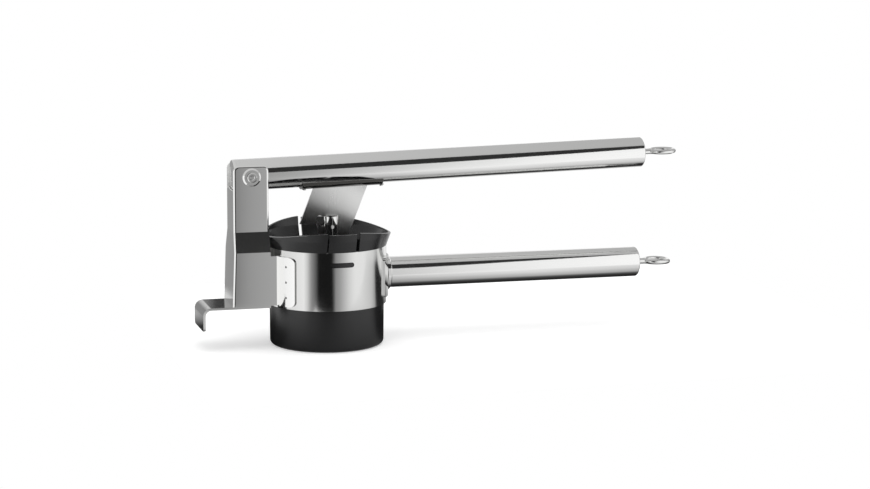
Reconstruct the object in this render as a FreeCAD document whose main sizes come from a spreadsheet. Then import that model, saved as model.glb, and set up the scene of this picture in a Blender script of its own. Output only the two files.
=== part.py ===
import FreeCAD, Part
import math
import os
from types import SimpleNamespace
import Sketcher
from FreeCAD import Placement, Rotation, Vector

# Spaetzle press: a plastic cup clipped into a steel band, a sheet bracket, two tube handles
# and a plunger that the upper arm drives. Millimetres. The origin is the centre of the
# cup's flat bottom, +Z is up, +X points along the handles and the front faces -Y.

SIZES = (
    # Cup band: a rolled steel ring with one clip slot in front and one behind
    ("band_diameter", 96.4),
    ("band_wall", 1.2),
    ("band_bottom", 34.1),
    ("band_height", 46.7),
    ("clip_offset", 1.3),
    ("clip_slot_length", 19.8),
    ("clip_slot_height", 4.0),
    ("clip_slot_drop", 9.9),
    # Insert: the black cup that drops into the band and hangs by its collar
    ("insert_gap", 0.3),
    ("insert_funnel", 0.6),
    ("insert_wall", 2.2),
    ("insert_draft", 0.6),
    ("insert_floor", 3.4),
    ("insert_edge_radius", 3.4),
    ("collar_height", 16.2),
    ("collar_seat", 0.1),
    ("collar_flare", 5.2),
    ("collar_knee", 8.9),
    ("collar_knee_flare", 3.2),
    ("rim_arch_radius", 187.0),
    ("tongue_width", 22.4),
    ("tongue_length", 36.0),
    ("tongue_lowering", 1.4),
    ("narrow_slit", 1.2),
    ("wide_slit", 2.8),
    ("nub_depth", 1.0),
    ("nub_recess", 0.4),
    # Sieve: the perforated bottom, let into the insert flush with its rest face
    ("sieve_radius", 38.4),
    ("sieve_lip", 2.6),
    ("sieve_lip_height", 1.7),
    ("sieve_gap", 0.25),
    ("hole_diameter", 4.2),
    ("hole_ring_pitch", 8.4),
    # Bracket: one folded sheet, narrow at the arm and wide at the band
    ("sheet", 1.5),
    ("bracket_left", 78.8),
    ("cheek_depth", 28.4),
    ("cheek_gap", 26.0),
    ("cheek_above_pivot", 9.3),
    ("cheek_corner", 4.6),
    ("fold_radius", 1.8),
    ("joggle_top", 94.8),
    ("joggle_height", 15.8),
    ("joggle_step", 5.5),
    ("bracket_bottom", 35.9),
    ("spine_lean", 2.0),
    ("spine_below_pivot", 10.8),
    ("ear_height", 39.8),
    ("ear_reach", 11.0),
    ("ear_corner", 4.4),
    ("weld_pitch", 12.4),
    ("weld_mark", 2.0),
    ("weld_depth", 0.6),
    ("weld_inset", 5.4),
    # Rest hook: the plate under the bracket with its turned down lip
    ("hook_length", 54.4),
    ("hook_lip", 18.8),
    ("hook_sheet", 1.9),
    ("hook_bend", 6.4),
    ("hook_corner", 3.0),
    # Handles: two equal tubes with rounded ends, plugs and wire loops
    ("tube_diameter", 25.0),
    ("tube_wall", 1.5),
    ("tube_end_radius", 1.3),
    ("plug_length", 6.0),
    ("plug_recess", 0.4),
    ("handle_height", 55.5),
    ("handle_end", 267.6),
    ("saddle_height", 32.0),
    ("saddle_width", 55.6),
    ("saddle_sheet", 1.7),
    ("saddle_corner", 3.0),
    ("ring_diameter", 28.4),
    ("ring_length", 1.6),
    ("ring_edge", 0.8),
    ("loop_wire", 4.0),
    ("loop_width", 24.0),
    ("loop_reach", 31.0),
    ("loop_root", 4.6),
    ("loop_shoulder", 4.0),
    # Arm: its place and parts are set out from the pivot, along the tube
    ("pivot_left", 64.1),
    ("pivot_height", 138.4),
    ("arm_tilt", 1.6),
    ("arm_rise", 0.65),
    ("arm_tail", 13.0),
    ("arm_reach", 334.6),
    ("tail_disc", 1.6),
    ("rivet_diameter", 6.0),
    ("rivet_head", 7.8),
    ("rivet_head_height", 1.5),
    ("rivet_edge", 0.6),
    ("rivet_dimple", 0.4),
    ("washer_diameter", 14.6),
    ("washer_height", 1.3),
    ("washer_slope", 1.2),
    ("bush_wall", 1.5),
    ("bush_side_gap", 0.3),
    ("running_fit", 0.05),
    # Link: the hollow strip under the arm and the slanted plate that reaches the plunger
    ("strip_start", 42.0),
    ("strip_length", 66.6),
    ("strip_width", 19.0),
    ("strip_height", 1.8),
    ("plate_sheet", 2.0),
    ("plate_start", 52.6),
    ("plate_length", 44.6),
    ("plate_slant", 23.1),
    ("foot_above_pin", 1.4),
    ("tang_inset", 14.1),
    ("tang_below_pin", 14.2),
    ("tang_corner", 6.0),
    ("tang_rake", 3.0),
    ("slot_clearance", 0.3),
    ("opening_angle", 70.0),
    ("plunger_stroke", 92.4),
    # Plunger: forked rod, cross pin, backing plate and pressing disc
    ("plunger_right", 3.4),
    ("rod_diameter", 12.0),
    ("pin_height", 95.1),
    ("rod_above_pin", 9.2),
    ("rod_edge", 0.8),
    ("fork_depth", 22.0),
    ("fork_gap", 2.6),
    ("pin_diameter", 3.0),
    ("pin_recess", 0.2),
    ("disc_diameter", 86.0),
    ("disc_sheet", 1.5),
    ("disc_rim_height", 9.0),
    ("disc_clearance", 0.4),
    ("disc_edge", 1.0),
    ("backing_diameter", 34.0),
    ("backing_sheet", 2.0),
    ("screw_diameter", 5.0),
    ("screw_head", 10.0),
    ("screw_length", 14.0),
)

HOLE_RINGS = 4
FIRST_RING_COUNT = 6
WELDS_PER_EAR = 3
PIN_PATH_STEPS = 21


class Size:
    """A dimension: its value now, and the expression that keeps a feature tied to the sheet."""

    def __init__(self, value, text):
        self.value = float(value)
        self.text = text

    def _pair(self, other):
        return other if isinstance(other, Size) else Size(other, repr(float(other)))

    def __add__(self, other):
        other = self._pair(other)
        return Size(self.value + other.value, f"({self.text} + {other.text})")

    def __sub__(self, other):
        other = self._pair(other)
        return Size(self.value - other.value, f"({self.text} - {other.text})")

    def __mul__(self, other):
        other = self._pair(other)
        return Size(self.value * other.value, f"({self.text} * {other.text})")

    def __truediv__(self, other):
        other = self._pair(other)
        return Size(self.value / other.value, f"({self.text} / {other.text})")

    def __rsub__(self, other):
        return self._pair(other) - self

    def __neg__(self):
        return Size(-self.value, f"(0 - {self.text})")

    __radd__ = __add__
    __rmul__ = __mul__


def root(size):
    return Size(math.sqrt(size.value), f"sqrt({size.text})")


def tangent(angle):
    return Size(math.tan(math.radians(angle.value)), f"tan({angle.text})")


doc = FreeCAD.newDocument("spaetzle_press")
sheet = doc.addObject("Spreadsheet::Sheet", "Sizes")
for row, (alias, number) in enumerate(SIZES, start=1):
    sheet.set(f"A{row}", alias)
    sheet.set(f"B{row}", str(number))
    sheet.setAlias(f"B{row}", alias)
doc.recompute()
s = SimpleNamespace(**{alias: Size(number, "Sizes." + alias) for alias, number in SIZES})

# Places that several pieces share, worked out once from the driving sizes
band_radius = s.band_diameter / 2
band_bore = band_radius - s.band_wall
band_top = s.band_bottom + s.band_height
insert_radius = band_bore - s.insert_gap
rim_peak = band_top + s.collar_height
clip_height = band_top - s.clip_slot_drop
tube_radius = s.tube_diameter / 2
cheek_half = s.cheek_gap / 2 + s.sheet
wide_half = cheek_half + s.joggle_step
joggle_bottom = s.joggle_top - s.joggle_height
cheek_top = s.pivot_height + s.cheek_above_pivot
spine_top = s.pivot_height - s.spine_below_pivot
cheek_right = s.bracket_left - s.cheek_depth
hook_top = s.bracket_bottom
arm_under = s.arm_rise - tube_radius
strip_under = arm_under - s.strip_height
pin_depth = s.pivot_height - s.pin_height
foot_depth = pin_depth - s.foot_above_pin
tang_depth = pin_depth + s.tang_below_pin
disc_bottom = s.insert_floor + s.disc_clearance
rod_bottom = disc_bottom + s.disc_sheet + s.backing_sheet

# Tools run past what they cut: a little way, or through the whole press
OVERRUN = s.sheet
THROUGH = s.band_diameter * 4
TURNS = {"X": (Vector(0, 1, 0), 90.0), "Y": (Vector(1, 0, 0), -90.0), "Z": (Vector(0, 0, 1), 0.0)}


def as_size(value):
    return value if isinstance(value, Size) else Size(value, repr(float(value)))


def bind(thing, name, value):
    """Set a property and tie it to the sheet."""
    value = as_size(value)
    setattr(thing, name, value.value)
    thing.setExpression(name, value.text)


def put(thing, x=0, y=0, z=0, axis="Z"):
    """Place a primitive so that its own Z runs along the named axis."""
    thing.Placement = Placement(Vector(0, 0, 0), Rotation(*TURNS[axis]))
    for key, value in (("x", x), ("y", y), ("z", z)):
        thing.setExpression("Placement.Base." + key, as_size(value).text)
    return thing


def box(name, low, size):
    """A block from its low corner and its three sizes."""
    thing = doc.addObject("Part::Box", name)
    for side, value in zip(("Length", "Width", "Height"), size):
        bind(thing, side, value)
    return put(thing, *low)


def rod(name, radius, length, start, axis="Z"):
    """A cylinder from the centre of its first end, along +axis."""
    thing = doc.addObject("Part::Cylinder", name)
    bind(thing, "Radius", radius)
    bind(thing, "Height", length)
    return put(thing, *start, axis=axis)


def cut(name, base, tool):
    thing = doc.addObject("Part::Cut", name)
    thing.Base = base
    thing.Tool = tool
    return thing


def common(name, base, tool):
    thing = doc.addObject("Part::Common", name)
    thing.Base = base
    thing.Tool = tool
    return thing


def fuse(name, *pieces):
    thing = doc.addObject("Part::MultiFuse", name)
    thing.Shapes = list(pieces)
    thing.Refine = True
    return thing


def obround(name, centre, length, height, depth):
    """A bar with round ends that runs along +Y: the tool or key of a clip slot."""
    x, y, z = centre
    radius = height / 2
    half = length / 2 - radius
    bar = box(name + "_bar", (x - half, y, z - radius), (half * 2, depth, height))
    left = rod(name + "_left", radius, depth, (x - half, y, z), "Y")
    right = rod(name + "_right", radius, depth, (x + half, y, z), "Y")
    return fuse(name, bar, left, right)


def new_body(label):
    thing = doc.addObject("PartDesign::Body", label)
    thing.Label = label
    return thing


def new_sketch(body, role, name, offset=0):
    """A sketch on one of the body's own origin planes, moved along the plane's normal."""
    sketch = body.newObject("Sketcher::SketchObject", name)
    plane = [feature for feature in body.Origin.OriginFeatures if feature.Role == role][0]
    sketch.AttachmentSupport = (plane, [""])
    sketch.MapMode = "FlatFace"
    sketch.setExpression("AttachmentOffset.Base.z", as_size(offset).text)
    return sketch


def outline(sketch, corners):
    """A closed outline through corners, each held to the sheet from the sketch's origin."""
    points = [(as_size(x), as_size(y)) for x, y in corners]
    first = sketch.GeometryCount
    for index, (x, y) in enumerate(points):
        end_x, end_y = points[(index + 1) % len(points)]
        sketch.addGeometry(
            Part.LineSegment(Vector(x.value, y.value, 0), Vector(end_x.value, end_y.value, 0))
        )
    for index, (x, y) in enumerate(points):
        line = first + index
        following = first + (index + 1) % len(points)
        sketch.addConstraint(Sketcher.Constraint("Coincident", line, 2, following, 1))
        for kind, value in (("DistanceX", x), ("DistanceY", y)):
            held = sketch.addConstraint(Sketcher.Constraint(kind, -1, 1, line, 1, value.value))
            sketch.setExpression(f"Constraints[{held}]", value.text)


def circle(sketch, x, y, radius):
    x, y, radius = as_size(x), as_size(y), as_size(radius)
    ring = sketch.addGeometry(Part.Circle(Vector(x.value, y.value, 0), Vector(0, 0, 1), radius.value))
    for kind, value in (("DistanceX", x), ("DistanceY", y)):
        held = sketch.addConstraint(Sketcher.Constraint(kind, -1, 1, ring, 3, value.value))
        sketch.setExpression(f"Constraints[{held}]", value.text)
    held = sketch.addConstraint(Sketcher.Constraint("Radius", ring, radius.value))
    sketch.setExpression(f"Constraints[{held}]", radius.text)


def pad(body, sketch, name, length, both_ways=False, back=False):
    thing = body.newObject("PartDesign::Pad", name)
    thing.Profile = sketch
    bind(thing, "Length", length)
    thing.SideType = "Symmetric" if both_ways else "One side"
    thing.Reversed = back
    doc.recompute()
    return thing


def pocket(body, sketch, name, length=None, both_ways=False, back=False):
    thing = body.newObject("PartDesign::Pocket", name)
    thing.Profile = sketch
    if length is None:
        thing.Type = "ThroughAll"
    else:
        bind(thing, "Length", length)
    thing.SideType = "Symmetric" if both_ways else "One side"
    thing.Reversed = back
    doc.recompute()
    return thing


def turned(body, name, corners):
    """A solid of revolution about the body's Z axis, from (radius, height) corners."""
    sketch = new_sketch(body, "XZ_Plane", name + "_profile")
    outline(sketch, corners)
    thing = body.newObject("PartDesign::Revolution", name)
    thing.Profile = sketch
    thing.ReferenceAxis = (sketch, ["V_Axis"])
    thing.Angle = 360.0
    doc.recompute()
    return thing


def rounded(body, feature, name, radius, test):
    """Fillet every edge of the feature that passes the test on its middle and direction."""
    edges = []
    for index, edge in enumerate(feature.Shape.Edges, start=1):
        middle = edge.valueAt((edge.FirstParameter + edge.LastParameter) / 2)
        along = edge.tangentAt((edge.FirstParameter + edge.LastParameter) / 2)
        if test(edge, middle, along):
            edges.append(f"Edge{index}")
    thing = body.newObject("PartDesign::Fillet", name)
    thing.Base = (feature, edges)
    bind(thing, "Radius", radius)
    doc.recompute()
    return thing


def near(a, b, slack=0.01):
    return abs(a - b) < slack


parts = {}


def finished(name, thing):
    """Give a finished sub-part the name of its node."""
    thing.Label = name
    parts[name] = thing
    return thing


def make_band():
    outer = rod("band_outer", band_radius, s.band_height, (0, 0, s.band_bottom))
    bore = rod("band_bore", band_bore, s.band_height, (0, 0, s.band_bottom))
    ring = cut("band_ring", outer, bore)
    centre = (s.clip_offset, -THROUGH / 2, clip_height)
    slots = obround("clip_slots", centre, s.clip_slot_length, s.clip_slot_height, THROUGH)
    finished("cup_band", cut("cup_band", ring, slots))


def make_insert():
    body = new_body("insert_turning")
    foot_radius = insert_radius - s.insert_draft
    bore_foot = foot_radius - s.insert_wall
    bore_top = insert_radius - s.insert_wall
    seat = s.sieve_radius + s.sieve_lip + s.sieve_gap
    collar_root = band_radius + s.collar_seat
    collar_mouth = collar_root + s.collar_flare
    knee_radius = collar_root + s.collar_knee_flare
    knee = band_top + s.collar_knee
    brim = rim_peak + OVERRUN
    turning = turned(body, "insert_revolve", (
        (s.sieve_radius + s.sieve_gap, 0),
        (foot_radius, 0),
        (insert_radius, band_top),
        (collar_root, band_top),
        (knee_radius, knee),
        (collar_mouth, brim),
        (collar_mouth - s.insert_wall, brim),
        (knee_radius - s.insert_wall, knee),
        (bore_top + s.insert_funnel, band_top),
        (bore_top, band_top - s.insert_wall),
        (bore_foot, s.insert_floor),
        (seat, s.insert_floor),
        (seat, s.sieve_lip_height),
        (s.sieve_radius + s.sieve_gap, s.sieve_lip_height),
    ))
    rounded(
        body, turning, "insert_edge", s.insert_edge_radius,
        lambda edge, middle, along: near(middle.z, 0)
        and near(math.hypot(middle.x, middle.y), foot_radius.value),
    )
    arch_centre = rim_peak - s.rim_arch_radius
    arch = rod("rim_arch", s.rim_arch_radius, THROUGH, (0, -THROUGH / 2, arch_centre), "Y")
    arched = common("insert_arched", body, arch)
    # The tongues in front and behind are freed by a narrow and a wide slit each
    slit_bottom = rim_peak - s.tongue_length
    slit_height = s.tongue_length + OVERRUN
    tongue_left = s.clip_offset - s.tongue_width / 2
    tongue_right = tongue_left + s.tongue_width
    tools = []
    for name, start, x, width in (
        ("front_narrow", -THROUGH / 4, tongue_left - s.narrow_slit, s.narrow_slit),
        ("front_wide", -THROUGH / 4, tongue_right, s.wide_slit),
        ("back_narrow", Size(0, "0"), tongue_right, s.narrow_slit),
        ("back_wide", Size(0, "0"), tongue_left - s.wide_slit, s.wide_slit),
    ):
        tools.append(box("slit_" + name, (x, start, slit_bottom), (width, THROUGH / 4, slit_height)))
    tools.append(box(
        "tongue_tops", (tongue_left, -THROUGH / 2, rim_peak - s.tongue_lowering),
        (s.tongue_width, THROUGH, s.tongue_lowering + OVERRUN),
    ))
    slitted = cut("insert_slitted", arched, fuse("slit_tools", *tools))
    # Each tongue carries a nub that snaps into its slot in the band
    bar = obround(
        "nub_bar", (s.clip_offset, -THROUGH / 2, clip_height),
        s.clip_slot_length - s.insert_gap * 2, s.clip_slot_height - s.insert_gap * 2, THROUGH,
    )
    nub_reach = rod("nub_reach", band_radius - s.nub_recess, THROUGH / 4, (0, 0, 0))
    nub_root = rod("nub_root", insert_radius - s.nub_depth, THROUGH / 4, (0, 0, 0))
    nubs = cut("nubs", common("nub_cut", bar, nub_reach), nub_root)
    finished("insert_cup", fuse("insert_cup", slitted, nubs))


def make_sieve():
    body = new_body("sieve_base")
    seat = s.sieve_radius + s.sieve_lip
    lip_under = s.sieve_lip_height + s.collar_seat
    turned(body, "sieve_revolve", (
        (0, 0), (s.sieve_radius, 0), (s.sieve_radius, lip_under),
        (seat, lip_under), (seat, s.insert_floor), (0, s.insert_floor),
    ))
    for ring in range(1, HOLE_RINGS + 1):
        sketch = new_sketch(body, "XY_Plane", f"hole_{ring}_outline")
        circle(sketch, s.hole_ring_pitch * ring, 0, s.hole_diameter / 2)
        hole = pocket(body, sketch, f"hole_{ring}", back=True)
        pattern = body.newObject("PartDesign::PolarPattern", f"hole_ring_{ring}")
        pattern.Originals = [hole]
        pattern.Axis = (sketch, ["N_Axis"])
        pattern.Angle = 360.0
        pattern.Occurrences = FIRST_RING_COUNT * ring
        body.Tip = pattern
        doc.recompute()
    finished("sieve_base", body)


def folded_block(label, inset, overrun):
    """The bracket's outer form, or with an inset its inside: a joggled, slightly leaning box."""
    body = new_body(label)
    left = -s.bracket_left + inset
    right = -cheek_right + overrun
    top = cheek_top + overrun
    # Below the joggle the spine leans outwards, and the inside runs on down at the same lean
    fall = s.joggle_top - s.bracket_bottom
    foot_left = left - s.spine_lean * (fall + overrun) / fall
    bottom = s.bracket_bottom - overrun
    side = new_sketch(body, "XZ_Plane", label + "_side")
    outline(side, ((left, top), (left, s.joggle_top), (foot_left, bottom), (right, bottom), (right, top)))
    narrow = cheek_half - inset
    wide = wide_half - inset
    pad(body, side, label + "_pad", wide * 2, both_ways=True)
    outside = wide_half * 2
    shoulders = new_sketch(body, "YZ_Plane", label + "_shoulders")
    for sign in (-1, 1):
        outline(shoulders, (
            (narrow * sign, top + s.sheet), (outside * sign, top + s.sheet),
            (outside * sign, joggle_bottom), (wide * sign, joggle_bottom), (narrow * sign, s.joggle_top),
        ))
    return body, pocket(body, shoulders, label + "_joggle", both_ways=True)


def make_ear(side_name, sign):
    """One ear: the flat that runs on from the cheek, then the wrap that lies on the band."""
    ear_top = s.bracket_bottom + s.ear_height
    ear_outer = band_radius + s.sheet
    meeting = root(band_radius * band_radius - (wide_half - s.sheet) * (wide_half - s.sheet))
    bend = root(ear_outer * ear_outer - wide_half * wide_half)
    flat = box(
        f"ear_flat_{side_name}",
        (-cheek_right - s.sheet, -wide_half if sign < 0 else wide_half - s.sheet, s.bracket_bottom),
        (cheek_right + s.sheet - meeting, s.sheet, s.ear_height),
    )
    window = new_body(f"ear_window_{side_name}")
    face = new_sketch(window, "XZ_Plane", f"ear_outline_{side_name}")
    left, right = -bend - s.sheet / 3, -bend + s.ear_reach
    outline(face, ((left, s.bracket_bottom), (right, s.bracket_bottom), (right, ear_top), (left, ear_top)))
    block = pad(window, face, f"ear_block_{side_name}", THROUGH / 4, back=sign > 0)
    rounded(
        window, block, f"ear_corners_{side_name}", s.ear_corner,
        lambda edge, middle, along: abs(along.y) > 0.9 and near(middle.x, right.value),
    )
    outer = rod(f"ear_outer_{side_name}", ear_outer, s.ear_height, (0, 0, s.bracket_bottom))
    inner = rod(f"ear_inner_{side_name}", band_radius, s.ear_height, (0, 0, s.bracket_bottom))
    wrap = common(f"ear_{side_name}", cut(f"ear_ring_{side_name}", outer, inner), window)
    # Spot welds leave a short column of dimples
    x = -bend + s.weld_inset
    depth = root(ear_outer * ear_outer - x * x)
    start = -depth if sign < 0 else depth - s.weld_depth
    welds = []
    for weld in range(WELDS_PER_EAR):
        step = s.weld_pitch * (weld - (WELDS_PER_EAR - 1) / 2)
        centre = (x, start, s.bracket_bottom + s.ear_height / 2 + step)
        welds.append(rod(f"weld_{side_name}_{weld}", s.weld_mark / 2, s.weld_depth, centre, "Y"))
    return [flat, wrap], welds


def make_bracket():
    outside, narrowed = folded_block("bracket_outside", 0, 0)
    cornered = rounded(
        outside, narrowed, "cheek_corners", s.cheek_corner,
        lambda edge, middle, along: abs(along.y) > 0.9 and near(middle.z, cheek_top.value),
    )
    rounded(
        outside, cornered, "spine_folds", s.fold_radius,
        lambda edge, middle, along: abs(along.z) > 0.8
        and middle.x < -s.bracket_left.value + s.sheet.value and edge.Length > s.cheek_corner.value * 2,
    )
    inside, hollow = folded_block("bracket_inside", s.sheet, s.cheek_corner)
    folded = cut("bracket_folded", outside, inside)
    notch = box(
        "spine_notch", (-s.bracket_left - OVERRUN, -(s.cheek_gap / 2), spine_top),
        (s.cheek_corner + OVERRUN, s.cheek_gap, cheek_top - spine_top + OVERRUN),
    )
    pieces = [cut("bracket_trimmed", folded, notch)]
    tools = []
    for side_name, sign in (("front", -1), ("back", 1)):
        sheets, welds = make_ear(side_name, sign)
        pieces += sheets
        tools += welds
    tools.append(rod(
        "bracket_pivot_hole", s.rivet_diameter / 2 + s.running_fit, THROUGH,
        (-s.pivot_left, -THROUGH / 2, s.pivot_height), "Y",
    ))
    finished("bracket", cut("bracket", fuse("bracket_joined", *pieces), fuse("bracket_holes", *tools)))


def make_hook():
    body = new_body("rest_hook")
    under = hook_top - s.hook_sheet
    lip_end = hook_top - s.hook_lip
    right = -cheek_right
    left = right - s.hook_length
    side = new_sketch(body, "XZ_Plane", "hook_side")
    outline(side, (
        (right, under), (right, hook_top), (left, hook_top), (left, lip_end),
        (left + s.hook_sheet, lip_end), (left + s.hook_sheet, under),
    ))
    plate = pad(body, side, "hook_strip", wide_half * 2, both_ways=True)
    bent = rounded(
        body, plate, "hook_outer_bend", s.hook_bend,
        lambda edge, middle, along: abs(along.y) > 0.9 and near(middle.x, left.value)
        and near(middle.z, hook_top.value),
    )
    hollow = rounded(
        body, bent, "hook_inner_bend", s.hook_bend - s.hook_sheet,
        lambda edge, middle, along: abs(along.y) > 0.9
        and near(middle.x, (left + s.hook_sheet).value) and near(middle.z, under.value),
    )
    rounded(
        body, hollow, "hook_lip_corners", s.hook_corner,
        lambda edge, middle, along: abs(along.x) > 0.9
        and near(middle.z, lip_end.value) and near(abs(middle.y), wide_half.value),
    )
    finished("rest_hook", body)


def make_saddle():
    outer_radius = band_radius + s.saddle_sheet
    low = s.handle_height - s.saddle_height / 2
    high = low + s.saddle_height
    half = s.saddle_width / 2
    window = new_body("saddle_window")
    face = new_sketch(window, "YZ_Plane", "saddle_outline")
    outline(face, ((-half, low), (half, low), (half, high), (-half, high)))
    block = pad(window, face, "saddle_block", THROUGH / 4)
    rounded(
        window, block, "saddle_corners", s.saddle_corner,
        lambda edge, middle, along: abs(along.x) > 0.9,
    )
    outer = rod("saddle_outer", outer_radius, s.saddle_height, (0, 0, low))
    inner = rod("saddle_inner", band_radius, s.saddle_height, (0, 0, low))
    finished("handle_saddle", common("handle_saddle", cut("saddle_ring", outer, inner), window))
    # The ring closes the joint between the saddle and the tube
    sleeve = new_body("ring_turned")
    ring_radius = s.ring_diameter / 2
    length = s.saddle_sheet + s.ring_length
    turned(sleeve, "ring_revolve", (
        (tube_radius, 0), (ring_radius, 0), (ring_radius, length - s.ring_edge),
        (ring_radius - s.ring_edge, length), (tube_radius, length),
    ))
    put(sleeve, band_radius, 0, s.handle_height, "X")
    seat = rod("ring_seat", outer_radius, s.saddle_height, (0, 0, low))
    finished("handle_ring", cut("handle_ring", sleeve, seat))


def tube(label, start, end):
    """A handle tube along X with its open end rolled in around the plug."""
    body = new_body(label)
    section = new_sketch(body, "YZ_Plane", label + "_section", start)
    circle(section, 0, 0, tube_radius)
    bar = pad(body, section, label + "_bar", end - start)
    rounded(
        body, bar, label + "_end", s.tube_end_radius,
        lambda edge, middle, along: near(middle.x, end.value) and edge.Length > tube_radius.value,
    )
    bore = new_sketch(body, "YZ_Plane", label + "_bore_section", start)
    circle(bore, 0, 0, tube_radius - s.tube_wall)
    pocket(body, bore, label + "_bore", back=True)
    return body


def loop_line(end):
    """The bent wire's line, seen from above: a straight leg, its shoulder and half of the eye."""
    half_root = s.loop_root.value / 2
    eye = (s.loop_width.value - s.loop_wire.value) / 2
    shoulder = s.loop_shoulder.value
    foot = Vector(end - s.plug_recess.value - s.plug_length.value, half_root, 0)
    centre = Vector(end + s.loop_reach.value - s.loop_width.value / 2, 0, 0)
    span = math.sqrt((eye + shoulder) ** 2 - (half_root + shoulder) ** 2)
    outer = Vector(centre.x - span, half_root + shoulder, 0)
    start = Vector(outer.x, half_root, 0)
    meet = centre + (outer - centre) * (eye / (eye + shoulder))
    middle = outer + ((start + meet) / 2 - outer).normalize() * shoulder
    return foot, start, middle, meet, centre + Vector(eye, 0, 0)


def make_loop(label, end):
    """The hanging loop: one bent wire, its two legs set in the plug."""
    foot, start, middle, meet, tip = loop_line(end)
    far = [Vector(point.x, -point.y, 0) for point in (meet, middle, start, foot)]
    path = Part.Wire([
        Part.LineSegment(foot, start).toShape(),
        Part.Arc(start, middle, meet).toShape(),
        Part.Arc(meet, tip, far[0]).toShape(),
        Part.Arc(far[0], far[1], far[2]).toShape(),
        Part.LineSegment(far[2], far[3]).toShape(),
    ])
    section = Part.Wire([Part.Circle(foot, start - foot, s.loop_wire.value / 2).toShape()])
    thing = doc.addObject("Part::Feature", label)
    thing.Shape = path.makePipeShell([section], True, False)
    return thing


def make_plug(label, end):
    """The plug in a tube's end, with the two holes that take the loop's legs."""
    start = end - s.plug_recess - s.plug_length
    plug = rod(label + "_body", tube_radius - s.tube_wall, s.plug_length, (start, 0, 0), "X")
    holes = [
        rod(f"{label}_hole_{index}", s.loop_wire / 2, s.plug_length, (start, y, 0), "X")
        for index, y in enumerate((-s.loop_root / 2, s.loop_root / 2))
    ]
    return cut(label, plug, fuse(label + "_holes", *holes))


def make_handle():
    body = tube("handle_tube_turned", band_radius, s.handle_end)
    body.setExpression("Placement.Base.z", s.handle_height.text)
    low = s.handle_height - s.saddle_height / 2
    seat = rod("handle_seat", band_radius + s.saddle_sheet, s.saddle_height, (0, 0, low))
    finished("handle_tube", cut("handle_tube", body, seat))
    for label, thing in (
        ("handle_plug", make_plug("handle_plug", s.handle_end)),
        ("handle_loop", make_loop("handle_loop", s.handle_end.value)),
    ):
        thing.setExpression("Placement.Base.z", s.handle_height.text)
        finished(label, thing)


def on_arm(thing, rise=0):
    """Carry a piece from the arm's own frame, set out from the pivot, to its place."""
    lift = Placement(Vector(0, 0, as_size(rise).value), Rotation())
    turn = Rotation(Vector(0, 1, 0), -s.arm_tilt.value)
    thing.Placement = Placement(Vector(-s.pivot_left.value, 0, s.pivot_height.value), turn) * lift
    return thing


def make_arm():
    body = tube("arm_tube_turned", -s.arm_tail + s.tail_disc, s.arm_reach)
    bush_radius = s.rivet_diameter / 2 + s.bush_wall
    bush_hole = rod("arm_bush_hole", bush_radius, THROUGH, (0, -THROUGH / 2, -s.arm_rise), "Y")
    finished("arm_tube", on_arm(cut("arm_tube", body, bush_hole), s.arm_rise))
    disc = new_body("arm_tail_disc")
    face = new_sketch(disc, "YZ_Plane", "tail_disc_face", -s.arm_tail)
    circle(face, 0, 0, tube_radius)
    flat = pad(disc, face, "tail_disc_pad", s.tail_disc)
    rounded(
        disc, flat, "tail_disc_edge", s.tail_disc / 2,
        lambda edge, middle, along: near(middle.x, -s.arm_tail.value) and edge.Length > tube_radius.value,
    )
    finished("arm_tail_disc", on_arm(disc, s.arm_rise))
    finished("arm_plug", on_arm(make_plug("arm_plug", s.arm_reach), s.arm_rise))
    finished("arm_loop", on_arm(make_loop("arm_loop", s.arm_reach.value), s.arm_rise))
    # The bush runs on the rivet and is held across the tube
    length = s.cheek_gap - s.bush_side_gap * 2
    bush = cut(
        "pivot_bush",
        rod("bush_outer", bush_radius, length, (0, -(length / 2), 0), "Y"),
        rod("bush_bore", s.rivet_diameter / 2 + s.running_fit, length, (0, -(length / 2), 0), "Y"),
    )
    finished("pivot_bush", on_arm(bush))


def make_pivot():
    head = s.rivet_head / 2
    shank = s.rivet_diameter / 2
    shoulder = cheek_half + s.washer_height
    tip = shoulder + s.rivet_head_height
    dimple = shank / 2
    floor = tip - s.rivet_dimple
    rivet = new_body("pivot_rivet")
    turned(rivet, "rivet_revolve", (
        (0, -floor), (dimple, -floor), (dimple + s.rivet_dimple, -tip), (head - s.rivet_edge, -tip),
        (head, -tip + s.rivet_edge), (head, -shoulder), (shank, -shoulder),
        (shank, shoulder), (head, shoulder), (head, tip - s.rivet_edge),
        (head - s.rivet_edge, tip), (dimple + s.rivet_dimple, tip), (dimple, floor), (0, floor),
    ))
    washers = new_body("pivot_washers")
    rim = s.washer_diameter / 2
    profile = new_sketch(washers, "XZ_Plane", "washer_profile")
    for sign in (-1, 1):
        outline(profile, (
            (shank, cheek_half * sign), (rim, cheek_half * sign),
            (rim - s.washer_slope, shoulder * sign), (shank, shoulder * sign),
        ))
    spin = washers.newObject("PartDesign::Revolution", "washer_revolve")
    spin.Profile = profile
    spin.ReferenceAxis = (profile, ["V_Axis"])
    spin.Angle = 360.0
    for name, body in (("pivot_rivet", rivet), ("pivot_washers", washers)):
        finished(name, put(body, -s.pivot_left, 0, s.pivot_height, "Y"))


def pin_path():
    """Where the plunger's pin lies in the arm's frame as the arm opens."""
    along = s.plunger_right.value + s.pivot_left.value
    below = s.pin_height.value - s.pivot_height.value
    places = []
    for step in range(PIN_PATH_STEPS + 1):
        share = step / PIN_PATH_STEPS
        height = below + s.plunger_stroke.value * share
        turn = -math.radians(s.arm_tilt.value + s.opening_angle.value * share)
        places.append(Vector(
            along * math.cos(turn) - height * math.sin(turn), 0,
            along * math.sin(turn) + height * math.cos(turn),
        ))
    return places


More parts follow.
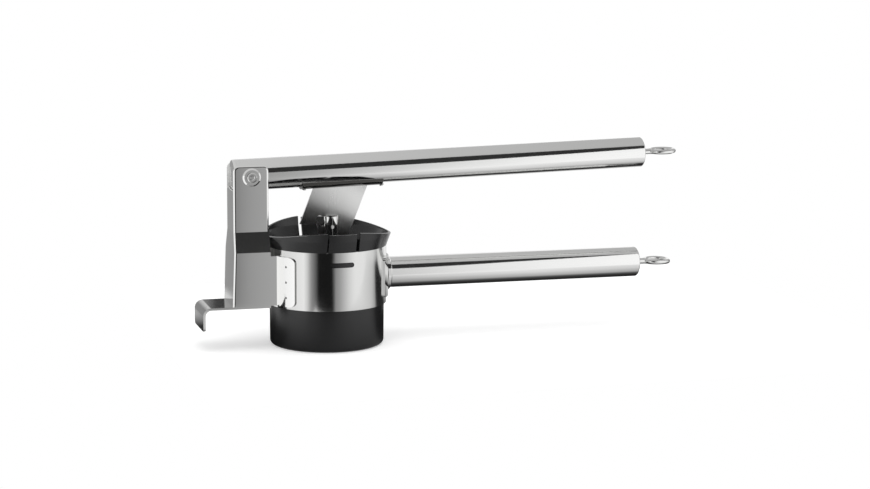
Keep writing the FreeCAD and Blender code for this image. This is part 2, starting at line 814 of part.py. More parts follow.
def slot_face(places):
    """The cam slot: everything within reach of the pin on its way out and back."""
    reach = s.pin_diameter.value / 2 + s.slot_clearance.value
    outward = Vector(0, 1, 0)
    half = len(places) // 2
    runs = list(zip(places, places[1:])) + list(zip(places[:half], reversed(places)))
    faces = [Part.Face(Part.Wire(Part.makeCircle(reach, place, outward))) for place in places]
    for start, end in runs:
        side = (end - start).normalize().cross(outward) * reach
        corners = [start + side, end + side, end - side, start - side, start + side]
        faces.append(Part.Face(Part.makePolygon(corners)))
    return faces[0].multiFuse(faces[1:]).removeSplitter()


def make_link():
    strip_radius = tube_radius + s.strip_height
    sleeve = rod("strip_outer", strip_radius, s.strip_length, (s.strip_start, 0, s.arm_rise), "X")
    seat = rod("strip_seat", tube_radius, s.strip_length, (s.strip_start, 0, s.arm_rise), "X")
    window = box(
        "strip_window", (s.strip_start, -(s.strip_width / 2), strip_under),
        (s.strip_length, s.strip_width, strip_radius),
    )
    finished("link_strip", on_arm(common("link_strip", cut("strip_ring", sleeve, seat), window)))
    # The plate is a slanted foot that narrows to a tang; its slot follows the pin's path
    slant = tangent(s.plate_slant)
    foot_left = s.plate_start - slant * (foot_depth + strip_under)
    right_end = s.plate_start + s.plate_length
    tang_left = foot_left + s.tang_inset
    body = new_body("plate_blank")
    sketch = new_sketch(body, "XZ_Plane", "plate_outline")
    outline(sketch, (
        (s.plate_start, strip_under), (right_end, strip_under),
        (right_end - slant * (tang_depth + strip_under), -tang_depth),
        (tang_left + s.tang_rake, -tang_depth), (tang_left, -foot_depth), (foot_left, -foot_depth),
    ))
    blank = pad(body, sketch, "plate_pad", s.plate_sheet, both_ways=True)
    rounded(
        body, blank, "tang_corners", s.tang_corner,
        lambda edge, middle, along: abs(along.y) > 0.9 and near(middle.z, -tang_depth.value),
    )
    depth = s.plate_sheet.value * 2
    slot = doc.addObject("Part::Feature", "pin_slot")
    slot.Shape = slot_face(pin_path()).extrude(Vector(0, depth, 0))
    slot.Placement = Placement(Vector(0, -depth / 2, 0), Rotation())
    finished("link_plate", on_arm(cut("link_plate", body, slot)))


def make_plunger():
    x = s.plunger_right
    top = s.pin_height + s.rod_above_pin
    rod_radius = s.rod_diameter / 2
    bar = new_body("rod_turned")
    turned(bar, "rod_revolve", (
        (0, rod_bottom), (rod_radius, rod_bottom), (rod_radius, top - s.rod_edge),
        (rod_radius - s.rod_edge, top), (0, top),
    ))
    bar.setExpression("Placement.Base.x", x.text)
    fork = box(
        "rod_fork", (x - s.rod_diameter, -(s.fork_gap / 2), s.pin_height - s.fork_depth),
        (s.rod_diameter * 2, s.fork_gap, s.fork_depth + s.rod_above_pin + OVERRUN),
    )
    cross = rod(
        "rod_cross_hole", s.pin_diameter / 2, s.rod_diameter * 2, (x, -s.rod_diameter, s.pin_height), "Y",
    )
    thread = rod("rod_thread_hole", s.screw_diameter / 2, s.screw_length, (x, 0, disc_bottom))
    finished("plunger_rod", cut("plunger_rod", bar, fuse("rod_tools", fork, cross, thread)))
    pin_half = rod_radius - s.pin_recess
    finished("link_pin", rod(
        "link_pin", s.pin_diameter / 2, pin_half * 2, (x, -pin_half, s.pin_height), "Y",
    ))
    finished("backing_plate", cut(
        "backing_plate",
        rod("backing_disc", s.backing_diameter / 2, s.backing_sheet, (x, 0, disc_bottom + s.disc_sheet)),
        rod("backing_hole", s.screw_diameter / 2, s.backing_sheet, (x, 0, disc_bottom + s.disc_sheet)),
    ))
    body = new_body("press_disc_turned")
    rim = s.disc_diameter / 2
    inner = rim - s.disc_sheet
    turned(body, "press_disc_revolve", (
        (0, disc_bottom), (rim - s.disc_edge, disc_bottom), (rim, disc_bottom + s.disc_edge),
        (rim, disc_bottom + s.disc_rim_height), (inner, disc_bottom + s.disc_rim_height),
        (inner, disc_bottom + s.disc_sheet), (0, disc_bottom + s.disc_sheet),
    ))
    finished("press_disc", cut("press_disc", body, countersink("disc_sink")))
    shank = rod("screw_shank", s.screw_diameter / 2, s.screw_length, (x, 0, disc_bottom))
    finished("disc_screw", fuse("disc_screw", countersink("screw_cone"), shank))


def countersink(name):
    """The screw's flat head, and the seat that takes it."""
    cone = doc.addObject("Part::Cone", name)
    bind(cone, "Radius1", s.screw_head / 2)
    bind(cone, "Radius2", s.screw_diameter / 2)
    bind(cone, "Height", s.disc_sheet)
    return put(cone, s.plunger_right, 0, disc_bottom)


make_band()
make_insert()
make_sieve()
make_bracket()
make_hook()
make_saddle()
make_handle()
make_arm()
make_pivot()
make_link()
make_plunger()
doc.recompute()

for thing in doc.Objects:
    if "Invalid" in thing.State or "Error" in thing.State:
        raise RuntimeError(f"{thing.Name} could not be built: {thing.State}")
for name, thing in parts.items():
    if thing.Shape.isNull() or not thing.Shape.isValid() or not thing.Shape.Solids:
        raise RuntimeError(f"{name} is not a valid solid")

os.makedirs("parts", exist_ok=True)
for name, thing in parts.items():
    thing.Shape.exportStep(os.path.join("parts", name + ".step"))
    extent = thing.Shape.BoundBox
    print(f"{name:16s} solids {len(thing.Shape.Solids)}  volume {thing.Shape.Volume:10.1f}  "
          f"x {extent.XMin:7.1f}..{extent.XMax:6.1f}  y {extent.YMin:6.1f}..{extent.YMax:5.1f}  "
          f"z {extent.ZMin:6.1f}..{extent.ZMax:6.1f}")
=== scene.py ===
import math

import bmesh
import bpy
from mathutils import Matrix, Vector


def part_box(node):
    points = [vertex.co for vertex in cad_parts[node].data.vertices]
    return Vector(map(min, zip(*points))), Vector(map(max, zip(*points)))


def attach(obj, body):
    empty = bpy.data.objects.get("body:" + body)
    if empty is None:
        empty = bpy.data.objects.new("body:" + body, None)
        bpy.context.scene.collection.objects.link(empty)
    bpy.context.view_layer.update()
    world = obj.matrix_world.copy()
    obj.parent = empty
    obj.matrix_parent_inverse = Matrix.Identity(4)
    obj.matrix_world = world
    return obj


# Spaetzle press of brushed stainless steel and black plastic, shown as a product picture.
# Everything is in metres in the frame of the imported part: +Z up, +X towards the handles' ends.

MM = 0.001

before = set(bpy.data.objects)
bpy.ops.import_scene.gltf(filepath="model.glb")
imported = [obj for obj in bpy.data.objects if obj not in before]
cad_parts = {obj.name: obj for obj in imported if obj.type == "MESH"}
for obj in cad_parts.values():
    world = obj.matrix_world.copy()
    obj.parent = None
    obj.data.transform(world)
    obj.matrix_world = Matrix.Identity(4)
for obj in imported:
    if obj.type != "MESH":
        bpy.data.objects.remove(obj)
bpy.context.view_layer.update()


def linear(hex_colour):
    """An sRGB hex colour as linear RGBA."""
    channels = [int(hex_colour[place:place + 2], 16) / 255 for place in (1, 3, 5)]
    values = [c / 12.92 if c <= 0.04045 else ((c + 0.055) / 1.055) ** 2.4 for c in channels]
    return (*values, 1.0)


def add_node(owner, kind, links=(), stops=(), **settings):
    """Add a node with its settings, a ramp's stops, and what its sockets get: a link or a constant."""
    node = owner.node_tree.nodes.new(kind)
    for name, value in settings.items():
        if hasattr(node, name):
            setattr(node, name, value)
        else:
            node.inputs[name.replace("_", " ")].default_value = value
    for _ in stops[2:]:
        node.color_ramp.elements.new(1.0)
    for number, (position, value) in enumerate(stops):
        node.color_ramp.elements[number].position = position
        node.color_ramp.elements[number].color = value
    for socket, source in links:
        if isinstance(source, bpy.types.NodeSocket):
            owner.node_tree.links.new(source, node.inputs[socket])
        else:
            node.inputs[socket].default_value = source
    return node


def new_material(name):
    material = bpy.data.materials.new(name)
    material.use_nodes = True
    material.node_tree.nodes.clear()
    return material


# Finishes of the press

SMUDGE_MM = 18.0          # wiped and handled places, about a thumb wide
EDGE_MM = 0.35            # how far from an edge the painted highlight reaches
EDGE_TURN = (0.97, 0.75)  # cosines between the face and its rounded edge: no painted highlight, full painted highlight
LINE_SPREAD = 0.25        # share by which the roughness of a brushed line strays from the finish's own
CLOUD_SPREAD = 0.2        # share by which wiping changes the roughness of steel
PLASTIC_SPREAD = 0.15     # and of plastic
PLASTIC_GRAIN_MM = 0.5
PLASTIC_GRAIN_DEPTH_MM = 0.003


def painted_edge_highlight(material):
    """1 on edges, where the colour is lightened as a painted highlight, 0 on the faces between them."""
    rounded = add_node(material, "ShaderNodeBevel", samples=4, Radius=EDGE_MM * MM)
    face = add_node(material, "ShaderNodeNewGeometry")
    turn = add_node(material, "ShaderNodeVectorMath", [
        (0, rounded.outputs["Normal"]), (1, face.outputs["Normal"]),
    ], operation="DOT_PRODUCT")
    return add_node(
        material, "ShaderNodeMapRange", [("Value", turn.outputs["Value"])],
        From_Min=EDGE_TURN[0], From_Max=EDGE_TURN[1],
    ).outputs["Result"]


def wiped(material, place):
    """Slow cloudy change over the surface, as wiping and handling leave on steel and plastic."""
    return add_node(
        material, "ShaderNodeTexNoise", [("Vector", place)], Scale=1 / (SMUDGE_MM * MM), Detail=2.0,
    ).outputs["Fac"]


def brushed_steel(name, colour, edge_highlight_colour, roughness, along, line_mm=0.35, length_mm=40.0,
                  depth_mm=0.0002, form=None):
    """Stainless steel 18/10, brushed: a grey mirror, slightly blurred, with fine lines in its gloss.

    A polishing belt's grain is about 0.05 mm; its lines are drawn coarser, to show at all.
    The form is a function that adds what one piece alone shows.
    """
    steel = new_material(name)
    place = add_node(steel, "ShaderNodeTexCoord").outputs["Object"]
    pitch = [1 / ((length_mm if axis in along else line_mm) * MM) for axis in "XYZ"]
    grain = add_node(steel, "ShaderNodeMapping", [("Vector", place)], Scale=pitch)
    lines = add_node(
        steel, "ShaderNodeTexNoise", [("Vector", grain.outputs["Vector"])],
        Scale=1.0, Detail=3.0, Roughness=0.6,
    )
    line_shine = add_node(
        steel, "ShaderNodeMapRange", [("Value", lines.outputs["Fac"])],
        To_Min=roughness * (1 - LINE_SPREAD), To_Max=roughness * (1 + LINE_SPREAD),
    )
    cloud_shine = add_node(
        steel, "ShaderNodeMapRange", [("Value", wiped(steel, place))],
        To_Min=1 - CLOUD_SPREAD, To_Max=1 + CLOUD_SPREAD,
    )
    shine = add_node(steel, "ShaderNodeMath", [
        (0, line_shine.outputs["Result"]), (1, cloud_shine.outputs["Result"]),
    ], operation="MULTIPLY").outputs["Value"]
    # Painted highlight: the base colour lightens to the edge colour along the edges
    tint = add_node(
        steel, "ShaderNodeValToRGB", [("Fac", painted_edge_highlight(steel))],
        stops=((0.0, linear(colour)), (1.0, linear(edge_highlight_colour))),
    ).outputs["Color"]
    normal = add_node(
        steel, "ShaderNodeBump", [("Height", lines.outputs["Fac"])], Strength=1.0, Distance=depth_mm * MM,
    ).outputs["Normal"]
    links = {"Base Color": tint, "Roughness": shine, "Normal": normal}
    if form:
        form(steel, place, links)
    shader = add_node(steel, "ShaderNodeBsdfPrincipled", links.items(), Metallic=1.0)
    add_node(steel, "ShaderNodeOutputMaterial", [("Surface", shader.outputs["BSDF"])])
    return steel


BRACKET_HEART = Vector((-48, 0, 90)) * MM      # a point inside the folded bracket
LEVEL = (1, 1, 0)         # leaves out the height
MILL_ROUGHNESS = 0.5
MILL_METAL = 0.3          # the mill's grey skin scatters light, unlike the bare metal
WELD_PLACES = [Vector((40.1, 29.4, height)) * MM for height in (43.3, 55.7, 68.1)]
WELD_REACH_MM = (0.4, 1.1)
WELD_SCALE = "#2b2a29"


def folded_sheet(steel, place, links):
    """The bracket: unpolished mill finish inside its folds, and dark spot welds on both ears."""
    face = add_node(steel, "ShaderNodeNewGeometry").outputs["Normal"]
    away = add_node(steel, "ShaderNodeVectorMath", [(0, place), (1, BRACKET_HEART)], operation="SUBTRACT")
    level = add_node(steel, "ShaderNodeVectorMath", [
        (0, away.outputs["Vector"]), (1, LEVEL),
    ], operation="MULTIPLY")
    outward = add_node(steel, "ShaderNodeVectorMath", [
        (0, level.outputs["Vector"]), (1, face),
    ], operation="DOT_PRODUCT")
    inside = add_node(steel, "ShaderNodeMath", [
        (0, outward.outputs["Value"]), (1, 0.0),
    ], operation="LESS_THAN")
    rough = add_node(
        steel, "ShaderNodeMapRange", [("Value", inside.outputs["Value"]), ("To Min", links["Roughness"])],
        To_Max=MILL_ROUGHNESS,
    )
    metal = add_node(
        steel, "ShaderNodeMapRange", [("Value", inside.outputs["Value"])], To_Min=1.0, To_Max=MILL_METAL,
    )
    # Without signs, the places on the front and back ears are the same
    unsigned = add_node(steel, "ShaderNodeVectorMath", [(0, place)], operation="ABSOLUTE").outputs["Vector"]
    nearest = None
    for weld in WELD_PLACES:
        far = add_node(steel, "ShaderNodeVectorMath", [(0, unsigned), (1, weld)], operation="DISTANCE")
        nearest = far.outputs["Value"] if nearest is None else add_node(
            steel, "ShaderNodeMath", [(0, nearest), (1, far.outputs["Value"])], operation="MINIMUM",
        ).outputs["Value"]
    burnt = add_node(
        steel, "ShaderNodeMapRange", [("Value", nearest)],
        From_Min=WELD_REACH_MM[1] * MM, From_Max=WELD_REACH_MM[0] * MM,
    )
    share, clean, scaled, blended = 0, 6, 7, 2     # the Mix node's sockets for colours
    welded = add_node(steel, "ShaderNodeMix", [
        (share, burnt.outputs["Result"]), (clean, links["Base Color"]), (scaled, linear(WELD_SCALE)),
    ], data_type="RGBA")
    links["Base Color"] = welded.outputs[blended]
    links["Roughness"] = rough.outputs["Result"]
    links["Metallic"] = metal.outputs["Result"]


PLATE_CENTRE = Vector((0, 0, 118)) * MM
PLATE_RUN = (0.6, 0, 0.8)
PLATE_BOW = 5.4           # height of the bow in metres for one metre away from the centre, squared


def bowed_plate(steel, place, links):
    """The link plate: drawn as slightly crowned, so its gloss runs from light to dark."""
    slant = add_node(steel, "ShaderNodeVectorMath", [(0, place), (1, PLATE_CENTRE)], operation="SUBTRACT")
    run = add_node(steel, "ShaderNodeVectorMath", [
        (0, slant.outputs["Vector"]), (1, PLATE_RUN),
    ], operation="DOT_PRODUCT")
    square = add_node(steel, "ShaderNodeMath", [
        (0, run.outputs["Value"]), (1, run.outputs["Value"]),
    ], operation="MULTIPLY")
    height = add_node(steel, "ShaderNodeMath", [
        (0, square.outputs["Value"]), (1, -PLATE_BOW),
    ], operation="MULTIPLY")
    crown = add_node(
        steel, "ShaderNodeBump", [("Height", height.outputs["Value"]), ("Normal", links["Normal"])],
        Strength=1.0, Distance=1.0,
    )
    links["Normal"] = crown.outputs["Normal"]


def moulded_plastic(name, colour, edge_highlight_colour, roughness):
    """Polyamide, injection moulded: charcoal black with a fine satin grain, lighter on its edges by a
    painted highlight.
    """
    plastic = new_material(name)
    place = add_node(plastic, "ShaderNodeTexCoord").outputs["Object"]
    grain = add_node(
        plastic, "ShaderNodeTexNoise", [("Vector", place)], Scale=1 / (PLASTIC_GRAIN_MM * MM), Detail=2.0,
    )
    bump = add_node(
        plastic, "ShaderNodeBump", [("Height", grain.outputs["Fac"])],
        Strength=1.0, Distance=PLASTIC_GRAIN_DEPTH_MM * MM,
    )
    shine = add_node(
        plastic, "ShaderNodeMapRange", [("Value", wiped(plastic, place))],
        To_Min=roughness * (1 - PLASTIC_SPREAD), To_Max=roughness * (1 + PLASTIC_SPREAD),
    )
    # Painted highlight: the base colour turns lighter grey along the edges
    tint = add_node(
        plastic, "ShaderNodeValToRGB", [("Fac", painted_edge_highlight(plastic))],
        stops=((0.0, linear(colour)), (1.0, linear(edge_highlight_colour))),
    )
    shader = add_node(plastic, "ShaderNodeBsdfPrincipled", [
        ("Base Color", tint.outputs["Color"]),
        ("Roughness", shine.outputs["Result"]),
        ("Normal", bump.outputs["Normal"]),
    ], IOR=1.53)
    add_node(plastic, "ShaderNodeOutputMaterial", [("Surface", shader.outputs["BSDF"])])
    return plastic


# Drawn tube, brushed along its length: a long soft mirror in light and dark bands
tube_steel = brushed_steel("brushed_tube_steel", "#ededec", "#f6f6f5", 0.10, "X")
# Rolled band, brushed round: the same mirror, bent into upright stripes
band_steel = brushed_steel("brushed_band_steel", "#d8d8d7", "#f0f0ef", 0.10, "XY")
# Sheared and bent sheet, polished: bright, with hardly a line
sheet_steel = brushed_steel("polished_sheet_steel", "#f2f2f1", "#fafaf9", 0.09, "Z")
bracket_steel = brushed_steel("folded_sheet_steel", "#f2f2f1", "#fafaf9", 0.09, "Z", form=folded_sheet)
# Sheared plate, left satin: its gloss spreads wide over deeper lines
plate_steel = brushed_steel(
    "bowed_plate_steel", "#f0f0ef", "#f6f6f5", 0.30, "Z", depth_mm=0.004, form=bowed_plate,
)
# Strip welded on all along, dull; its dark grey is a painted shade, as it lies under the arm tube
strip_steel = brushed_steel("painted_shade_strip_steel", "#595856", "#c4c3c1", 0.20, "X")
# Pressed disc, satin: greyer than the polished sheet
disc_steel = brushed_steel("satin_disc_steel", "#d0d0cf", "#e6e6e5", 0.25, "X", depth_mm=0.0004)
# Drawn bar and wire, polished: small sharp highlights
rod_steel = brushed_steel("polished_rod_steel", "#e4e4e3", "#f4f4f3", 0.06, "Z", depth_mm=0.0001)
# Moulded plastic: deep black with a satin sheen, and greyer on edges by a painted highlight
plastic = moulded_plastic("black_moulded_polyamide", "#19191a", "#2e2e2f", 0.24)


def dress(material, *names):
    for name in names:
        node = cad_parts[name]
        node.data.materials.clear()
        node.data.materials.append(material)


dress(tube_steel, "handle_tube", "arm_tube", "handle_ring")
dress(tube_steel, "handle_plug", "arm_plug", "pivot_bush")
dress(band_steel, "cup_band", "handle_saddle")
dress(bracket_steel, "bracket")
dress(sheet_steel, "rest_hook", "pivot_washers", "arm_tail_disc")
dress(plate_steel, "link_plate")
dress(strip_steel, "link_strip")
dress(disc_steel, "press_disc", "backing_plate", "disc_screw")
dress(rod_steel, "plunger_rod", "pivot_rivet", "link_pin", "handle_loop", "arm_loop")
dress(plastic, "insert_cup", "sieve_base")


# Weld beads that hold the curved strip under the arm

BEAD_SIZE = Vector((1.9, 1.0, 0.8)) * MM
BEAD_RIPPLE = 0.18
BEAD_WAVES = (7, 5)       # how fast the ripples follow each other along and across the bead
BEAD_INSET = 1.2 * MM
BEAD_RISE = 1.0 * MM
BEAD_TUCK = 0.9           # the beads sit this share of the strip's half width out from its middle
BEAD_LEAN = 0.3           # radians
strip_low, strip_high = (Vector(corner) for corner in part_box("link_strip"))
disc_high = Vector(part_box("arm_tail_disc")[1])
tube_high = Vector(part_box("arm_tube")[1])
arm_slope = (tube_high.z - disc_high.z) / (tube_high.x - disc_high.x)


def weld_bead(name, centre, lean):
    """A small puddle of weld metal: a flattened drop whose top has set in ripples."""
    form = bmesh.new()
    bmesh.ops.create_icosphere(form, subdivisions=3, radius=1.0)
    for corner in form.verts:
        ripple = math.sin(corner.co.x * BEAD_WAVES[0] + lean) + math.sin(corner.co.y * BEAD_WAVES[1] - lean)
        corner.co *= 1 + BEAD_RIPPLE * ripple / 2
    bmesh.ops.scale(form, vec=BEAD_SIZE, verts=form.verts)
    bmesh.ops.rotate(form, matrix=Matrix.Rotation(lean, 3, "Y"), verts=form.verts)
    bmesh.ops.translate(form, vec=centre, verts=form.verts)
    mesh = bpy.data.meshes.new(name)
    form.to_mesh(mesh)
    form.free()
    mesh.shade_smooth()
    mesh.materials.append(rod_steel)
    bead = bpy.data.objects.new(name, mesh)
    bpy.context.collection.objects.link(bead)
    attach(bead, "arm")


for side, y in (("front", strip_low.y), ("back", strip_high.y)):
    for end, x, lean in (
        ("tail", strip_low.x + BEAD_INSET, BEAD_LEAN), ("handle", strip_high.x - BEAD_INSET, -BEAD_LEAN),
    ):
        z = strip_low.z + BEAD_RISE + (x - strip_low.x) * arm_slope
        weld_bead(f"weld_bead_{side}_{end}", Vector((x, y * BEAD_TUCK, z)), lean)


# Studio: cards that only the gloss sees, a pale table and a white room

ACROSS, INWARDS = (1, 0, 0), (0, 1, 0)
PANEL_GLOW = 1.2
FRONT_DISTANCE = 0.5
FRONT_SLANT = 0.2925      # the pattern slants this much as it runs on over the cards before the press
FRONT_PATTERN = (
    (-0.80, 1.0), (-0.60, 0.72), (-0.45, 0.30), (-0.33, 0.12), (-0.27, 0.01), (-0.03, 0.01),
    (0.0, 0.10), (0.025, 0.28), (0.055, 0.33), (0.095, 0.38), (0.14, 0.48), (0.20, 0.60),
    (0.27, 0.74), (0.35, 0.84), (0.45, 0.90), (0.8, 0.90),
)
BACK_STOPS = (
    (-0.8, 0.95), (-0.42, 0.7), (-0.3, 0.22), (-0.2, 0.20), (-0.12, 0.4), (-0.04, 0.5), (0.0, 0.04),
    (0.08, 0.04), (0.13, 0.45), (0.25, 0.6), (0.4, 0.85), (0.9, 0.95),
)
RIGHT_STOPS = ((-0.8, 1.0), (-0.1, 0.75), (0.1, 0.5), (0.3, 0.05), (0.6, 0.05))
LEFT_STOPS = ((-0.8, 1.0), (-0.3, 0.9), (0.1, 0.8), (0.6, 0.8))
CEILING_STOPS = ((-0.1, 0.53), (0.3, 0.42))
BLACK_FLAG_STOPS = ((-1.0, 0.025), (1.0, 0.025))
STOP_REACH = 1.0          # the stops above lie between minus and plus this, in metres
FLOOR_GLOSS_PAINTED_SHADOW = (
    (-0.3, 1.0), (-0.18, 0.92), (-0.07, 0.72), (-0.027, 0.45), (-0.012, 0.12), (0.0, 0.04),
    (0.02, 0.02), (0.09, 0.03), (0.14, 0.4), (0.2, 0.7), (0.3, 0.9),
)
FLOOR_GLOSS_REACH = 0.3   # the same for the stops from front to back of the table
FLOOR_STOPS = (
    (-0.13, 0.8), (-0.09, 0.6), (-0.05, 0.36), (-0.03, 0.33), (0.0, 0.4), (0.03, 0.52),
    (0.07, 0.66), (0.12, 0.8), (0.2, 0.9), (0.3, 0.82),
)
FLOOR_Z = -0.0002         # just clear of the cup's flat bottom
FLOOR_LOW, FLOOR_HIGH = (-0.13, -0.20), (0.45, 0.28)
PAPER_GLOW = 0.42         # with daylight on it the table is just white, and keeps the contact shadow


def brightness_along(material, place, way, stops, reach=STOP_REACH):
    """The grey of a surface whose brightness runs through the stops along one way."""
    position = add_node(material, "ShaderNodeVectorMath", [(0, place), (1, way)], operation="DOT_PRODUCT")
    share = add_node(
        material, "ShaderNodeMapRange", [("Value", position.outputs["Value"])],
        From_Min=-reach, From_Max=reach,
    )
    greys = [((place + reach) / (2 * reach), (value, value, value, 1)) for place, value in stops]
    return add_node(
        material, "ShaderNodeValToRGB", [("Fac", share.outputs["Result"])], stops=greys,
    ).outputs["Color"]


def rectangle(low, high):
    """The outline between two corners, seen from above."""
    (x0, y0), (x1, y1) = low, high
    return (x0, y0), (x1, y0), (x1, y1), (x0, y1)


def level_card(outline, height):
    """The corners of a level card."""
    return [(x, y, height) for x, y in outline]


def upright_card(start, end, foot, top):
    """The corners of an upright card over the line from start to end."""
    return (*start, foot), (*end, foot), (*end, top), (*start, top)


def card(name, corners, material):
    """A flat sheet of the studio, standing where its corners are."""
    form = bmesh.new()
    form.faces.new([form.verts.new(corner) for corner in corners])
    mesh = bpy.data.meshes.new(name)
    form.to_mesh(mesh)
    form.free()
    mesh.materials.append(material)
    sheet = bpy.data.objects.new(name, mesh)
    bpy.context.collection.objects.link(sheet)
    return sheet


def reflector(name, stops, way, *outlines):
    """Cards of one brightness pattern: only the gloss of the steel and the plastic sees them."""
    material = new_material(name)
    place = add_node(material, "ShaderNodeTexCoord").outputs["Object"]
    grey = brightness_along(material, place, way, stops)
    glow = add_node(material, "ShaderNodeEmission", [("Color", grey)], Strength=PANEL_GLOW)
    add_node(material, "ShaderNodeOutputMaterial", [("Surface", glow.outputs["Emission"])])
    for number, corners in enumerate(outlines):
        sheet = card(f"{name}_{number}", corners, material)
        sheet.visible_camera = False
        sheet.visible_diffuse = False
        sheet.visible_transmission = False
        sheet.visible_shadow = False


def studio_floor():
    """A pale table: white to the camera; in gloss it shows a painted shadow, bright in front and dim under
    the press.
    """
    table = new_material("pale_floor")
    path = add_node(table, "ShaderNodeLightPath")
    clear = add_node(table, "ShaderNodeMath", [
        (0, path.outputs["Is Camera Ray"]), (1, path.outputs["Is Transmission Ray"]),
    ], operation="MAXIMUM")
    matte = add_node(table, "ShaderNodeBsdfDiffuse", Color=linear("#e8e8e8"))
    paper = add_node(table, "ShaderNodeEmission", Strength=PAPER_GLOW, Color=linear("#ffffff"))
    white = add_node(table, "ShaderNodeAddShader", [
        (0, matte.outputs["BSDF"]), (1, paper.outputs["Emission"]),
    ])
    place = add_node(table, "ShaderNodeTexCoord").outputs["Object"]
    # Painted shadow: in gloss the table's glow falls away under the press, where its shadow lies
    depth = brightness_along(table, place, INWARDS, FLOOR_GLOSS_PAINTED_SHADOW, FLOOR_GLOSS_REACH)
    across = brightness_along(table, place, ACROSS, FLOOR_STOPS)
    both = add_node(table, "ShaderNodeMath", [(0, depth), (1, across)], operation="MULTIPLY")
    shaded = add_node(
        table, "ShaderNodeEmission", [("Color", both.outputs["Value"])], Strength=PANEL_GLOW,
    )
    glossy = add_node(table, "ShaderNodeMixShader", [
        ("Fac", path.outputs["Is Glossy Ray"]), (1, matte.outputs["BSDF"]), (2, shaded.outputs["Emission"]),
    ])
    seen = add_node(table, "ShaderNodeMixShader", [
        ("Fac", clear.outputs["Value"]), (1, glossy.outputs["Shader"]), (2, white.outputs["Shader"]),
    ])
    add_node(table, "ShaderNodeOutputMaterial", [("Surface", seen.outputs["Shader"])])
    card("studio_floor", level_card(rectangle(FLOOR_LOW, FLOOR_HIGH), FLOOR_Z), table)


SIDE = 1.2                # how far the long cards reach to the left and right of the cup
PANEL_FOOT, PANEL_TOP = -0.3, 0.2
SIDE_PANEL_TOP = 0.6
SIDE_PANEL_DEPTH = (-0.8, 0.6)
LEFT_X, RIGHT_X = -0.8, 0.9
BACK_Y = 0.5
FRONT_EDGE = (            # the rear edge of the card over the front: where the tubes' dark line begins
    (SIDE, -0.06), (0.33, -0.06), (0.276, -0.1), (0.215, -0.148), (0.18, -0.2), (0.15, -0.235),
    (0.05, -0.255), (-0.1, -0.3), (-SIDE, -0.4),
)
CEILING_Z = 0.2735
CEILING_OUTLINE = ((-SIDE, -0.253), (SIDE, 0.003), (SIDE, 0.4), (-SIDE, 0.4))
FLAG_SIDE = 1.5
FLAG_TOP = 0.9
FLAG_DEPTH = (-1.5, 1.2)

studio_floor()
front_left, front_right = (-SIDE, -FRONT_DISTANCE), (SIDE, -FRONT_DISTANCE)
reflector(
    "front_panel", [(place - FRONT_SLANT * FRONT_DISTANCE, value) for place, value in FRONT_PATTERN],
    (1, FRONT_SLANT, 0),
    upright_card(front_left, front_right, PANEL_FOOT, PANEL_TOP),
    level_card((front_left, front_right, *FRONT_EDGE), PANEL_TOP),
)
reflector("ceiling", CEILING_STOPS, ACROSS, level_card(CEILING_OUTLINE, CEILING_Z))
reflector(
    "back_panel", BACK_STOPS, ACROSS, upright_card((-SIDE, BACK_Y), (SIDE, BACK_Y), PANEL_FOOT, PANEL_TOP),
)
for name, stops, x in (("right_panel", RIGHT_STOPS, RIGHT_X), ("left_panel", LEFT_STOPS, LEFT_X)):
    near, far = ((x, y) for y in SIDE_PANEL_DEPTH)
    reflector(name, stops, INWARDS, upright_card(near, far, PANEL_FOOT, SIDE_PANEL_TOP))
flag_front, flag_back = FLAG_DEPTH
reflector(
    "black_flag", BLACK_FLAG_STOPS, ACROSS,
    level_card(rectangle((-FLAG_SIDE, flag_front), (FLAG_SIDE, flag_back)), FLAG_TOP),
    upright_card((-FLAG_SIDE, flag_front), (FLAG_SIDE, flag_front), PANEL_TOP, FLAG_TOP),
)

DAYLIGHT = 0.75


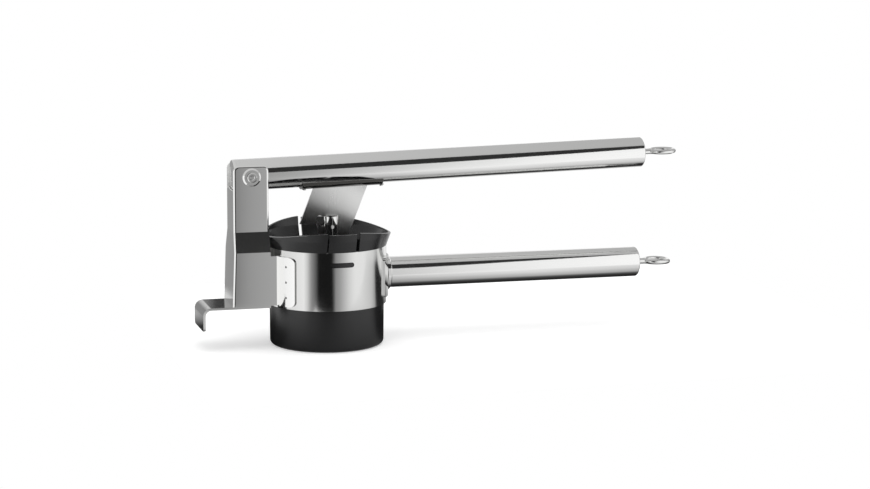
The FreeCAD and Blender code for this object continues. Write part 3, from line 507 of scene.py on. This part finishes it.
def white_room():
    """Even daylight on the object, and white behind it, also in gloss where no card stands."""
    room = bpy.data.worlds.new("white_room")
    bpy.context.scene.world = room
    room.use_nodes = True
    room.node_tree.nodes.clear()
    white = linear("#ffffff")
    path = add_node(room, "ShaderNodeLightPath")
    direct = add_node(room, "ShaderNodeMath", [
        (0, path.outputs["Is Camera Ray"]), (1, path.outputs["Is Transmission Ray"]),
    ], operation="MAXIMUM")
    clear = add_node(room, "ShaderNodeMath", [
        (0, direct.outputs["Value"]), (1, path.outputs["Is Glossy Ray"]),
    ], operation="MAXIMUM")
    day = add_node(room, "ShaderNodeBackground", Color=white, Strength=DAYLIGHT)
    backdrop = add_node(room, "ShaderNodeBackground", Color=white, Strength=1.0)
    seen = add_node(room, "ShaderNodeMixShader", [
        ("Fac", clear.outputs["Value"]), (1, day.outputs["Background"]), (2, backdrop.outputs["Background"]),
    ])
    add_node(room, "ShaderNodeOutputWorld", [("Surface", seen.outputs["Shader"])])


white_room()


def soft_light(name, place, target, size, power):
    data = bpy.data.lights.new(name, "AREA")
    data.shape = "RECTANGLE"
    data.size, data.size_y = size
    data.energy = power
    lamp = bpy.data.objects.new(name, data)
    lamp.location = place
    lamp.rotation_euler = (Vector(target) - Vector(place)).to_track_quat("-Z", "Y").to_euler()
    lamp.visible_glossy = False
    bpy.context.collection.objects.link(lamp)


PRESS_CENTRE = (0.09, 0.0, 0.08)
soft_light("top_softbox", (0.1, -0.3, 1.2), PRESS_CENTRE, (1.2, 0.8), 5)

# Camera of the photograph, fitted to the tubes' real size

IMAGE = (870, 489)
SENSOR_MM = 36.0
CLIP = (0.05, 20)         # nearest and farthest that the camera sees, in metres
FOCAL_PX = 2105.6
YAW, PITCH, ROLL = 16.315, 9.260, 0.399
AIM = Vector((91.22, 0, 76.57)) * MM
DISTANCE = 1728.34 * MM


def photo_camera():
    yaw, pitch, roll = (math.radians(angle) for angle in (YAW, PITCH, ROLL))
    forward = Vector((
        math.sin(yaw) * math.cos(pitch), math.cos(yaw) * math.cos(pitch), -math.sin(pitch)
    ))
    level = Vector((math.cos(yaw), -math.sin(yaw), 0))
    up = level.cross(forward)
    right = level * math.cos(roll) + up * math.sin(roll)
    top = -level * math.sin(roll) + up * math.cos(roll)
    data = bpy.data.cameras.new("photo_camera")
    data.sensor_fit = "HORIZONTAL"
    data.sensor_width = SENSOR_MM
    data.lens = FOCAL_PX / IMAGE[0] * data.sensor_width
    data.clip_start, data.clip_end = CLIP
    camera = bpy.data.objects.new("photo_camera", data)
    turn = Matrix((right, top, -forward)).transposed()
    camera.matrix_world = Matrix.Translation(AIM - forward * DISTANCE) @ turn.to_4x4()
    bpy.context.collection.objects.link(camera)
    bpy.context.scene.camera = camera


photo_camera()

bpy.context.scene.view_settings.view_transform = "Standard"
